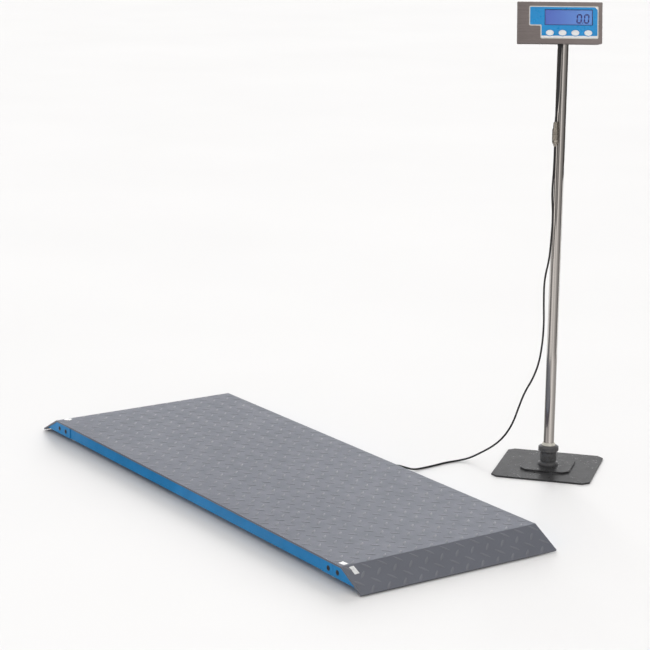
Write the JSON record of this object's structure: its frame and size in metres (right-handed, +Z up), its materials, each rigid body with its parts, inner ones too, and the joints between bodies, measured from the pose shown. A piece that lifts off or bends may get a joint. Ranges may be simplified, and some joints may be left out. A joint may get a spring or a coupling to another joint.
{
  "type": "platform shipping scale",
  "caption": "Low ramped floor scale with diamond tread deck on load cells, cabled to a tilting digital indicator on a freestanding pole stand.",
  "frame": {"origin": "bottom centre of the whole object's box, on the floor, measured without the cable", "axes": "+X along the platform towards its near ramp, +Y across the platform towards the stand, +Z up"},
  "size_m": [2.134, 1.5724, 1.6837],
  "materials": {
    "deck_paint": "satin grey enamel over diamond tread",
    "rail_paint": "satin blue enamel",
    "stand_paint": "semi-gloss dark grey enamel",
    "black_screws": "black oxide",
    "load_cell_steel": "nickel plated, ground",
    "zinc_steel": "zinc plated",
    "foot_pad": "light grey nylon",
    "cream_nylon": "cream nylon, satin",
    "moulded_plastic": "fine moulded texture",
    "circuit_board": "solder mask",
    "cable_pvc": "satin black jacket",
    "polished_stainless": "polished tube",
    "brushed_stainless": "horizontal brushing",
    "connector_metal": "nickel plated, knurled",
    "gasket_rubber": "matte",
    "overlay_film": "satin printed film",
    "window_clear": "clear",
    "display_blue": "backlit blue, satin",
    "key_white": "satin white"
  },
  "bodies": {
    "root": {"deck_plate": "deck_paint", "near_rail": "rail_paint", "far_rail": "rail_paint", "cross_member_1": "rail_paint", "cross_member_2": "rail_paint", "cross_member_3": "rail_paint", "corner_plate_1": "rail_paint", "corner_plate_2": "rail_paint", "corner_plate_3": "rail_paint", "corner_plate_4": "rail_paint", "corner_screws": "black_screws", "load_cell_1": "load_cell_steel", "load_cell_2": "load_cell_steel", "load_cell_3": "load_cell_steel", "load_cell_4": "load_cell_steel", "load_cell_bolts": "zinc_steel", "jam_nuts": "zinc_steel", "junction_box": "moulded_plastic", "junction_box_lid": "moulded_plastic", "summing_board": "circuit_board", "load_cell_leads": "cable_pvc", "platform_gland": "moulded_plastic", "base_plate": "stand_paint", "socket_plate": "stand_paint", "pole_socket": "stand_paint", "lower_cable": "cable_pvc"},
    "collar": {"collar_nut": "stand_paint"},
    "mast": {"pole": "polished_stainless", "pole_ring": "cream_nylon", "pole_head": "stand_paint", "tilt_bolt": "zinc_steel", "connector_plug": "connector_metal", "connector_socket": "connector_metal", "upper_cable": "cable_pvc"},
    "coupling": {"connector_ring": "connector_metal"},
    "indicator": {"tilt_yoke": "brushed_stainless", "housing_screws": "zinc_steel", "housing_shell": "brushed_stainless", "rear_cover": "brushed_stainless", "rear_gasket": "gasket_rubber", "front_overlay": "overlay_film", "display_window": "window_clear", "display_module": "display_blue", "main_board": "circuit_board", "board_standoffs": "zinc_steel", "battery_pack": "moulded_plastic", "indicator_gland": "moulded_plastic"},
    "knob": {"tilt_knob": "moulded_plastic"},
    "foot_1": {"foot_pad_1": "foot_pad", "foot_stud_1": "zinc_steel"},
    "key_1_body": {"key_1": "key_white"},
    "foot_2": {"foot_pad_2": "foot_pad", "foot_stud_2": "zinc_steel"},
    "key_2_body": {"key_2": "key_white"},
    "foot_3": {"foot_pad_3": "foot_pad", "foot_stud_3": "zinc_steel"},
    "key_3_body": {"key_3": "key_white"},
    "foot_4": {"foot_pad_4": "foot_pad", "foot_stud_4": "zinc_steel"},
    "key_4_body": {"key_4": "key_white"}
  },
  "joints": [
    {"name": "mast_swivel", "type": "hinge", "parent": "root", "child": "mast", "pos_m": [0.339, 0.54983, 0.04], "axis": [0, 0, 1], "range_deg": [-90, 90]},
    {"name": "collar_turn", "type": "hinge", "parent": "root", "child": "collar", "pos_m": [0.339, 0.54983, 0.072], "axis": [0, 0, 1], "range_deg": [0, 300]},
    {"name": "coupling_turn", "type": "hinge", "parent": "mast", "child": "coupling", "pos_m": [0.3491, 0.5201, 1.212], "axis": [0, 0, 1], "range_deg": [0, 120]},
    {"name": "indicator_tilt", "type": "hinge", "parent": "mast", "child": "indicator", "pos_m": [0.339, 0.54983, 1.6], "axis": [-0.5592, -0.829, 0], "range_deg": [-20, 30], "deforming": ["upper_cable"]},
    {"name": "knob_turn", "type": "hinge", "parent": "mast", "child": "knob", "pos_m": [0.339, 0.54983, 1.6], "axis": [0.5592, 0.829, 0], "range_deg": [0, 270]},
    {"name": "key_1_press", "type": "slide", "parent": "indicator", "child": "key_1_body", "axis": [-0.8068, 0.5442, -0.23], "range_m": [0, 0.0006], "stiffness_N_per_m": 1500, "springref_m": -0.0004},
    {"name": "key_2_press", "type": "slide", "parent": "indicator", "child": "key_2_body", "axis": [-0.8068, 0.5442, -0.23], "range_m": [0, 0.0006], "stiffness_N_per_m": 1500, "springref_m": -0.0004},
    {"name": "key_3_press", "type": "slide", "parent": "indicator", "child": "key_3_body", "axis": [-0.8068, 0.5442, -0.23], "range_m": [0, 0.0006], "stiffness_N_per_m": 1500, "springref_m": -0.0004},
    {"name": "key_4_press", "type": "slide", "parent": "indicator", "child": "key_4_body", "axis": [-0.8068, 0.5442, -0.23], "range_m": [0, 0.0006], "stiffness_N_per_m": 1500, "springref_m": -0.0004},
    {"name": "foot_1_adjust", "type": "slide", "parent": "root", "child": "foot_1", "axis": [0, 0, -1], "range_m": [0, 0.01]},
    {"name": "foot_2_adjust", "type": "slide", "parent": "root", "child": "foot_2", "axis": [0, 0, -1], "range_m": [0, 0.01]},
    {"name": "foot_3_adjust", "type": "slide", "parent": "root", "child": "foot_3", "axis": [0, 0, -1], "range_m": [0, 0.01]},
    {"name": "foot_4_adjust", "type": "slide", "parent": "root", "child": "foot_4", "axis": [0, 0, -1], "range_m": [0, 0.01]}
  ]
}
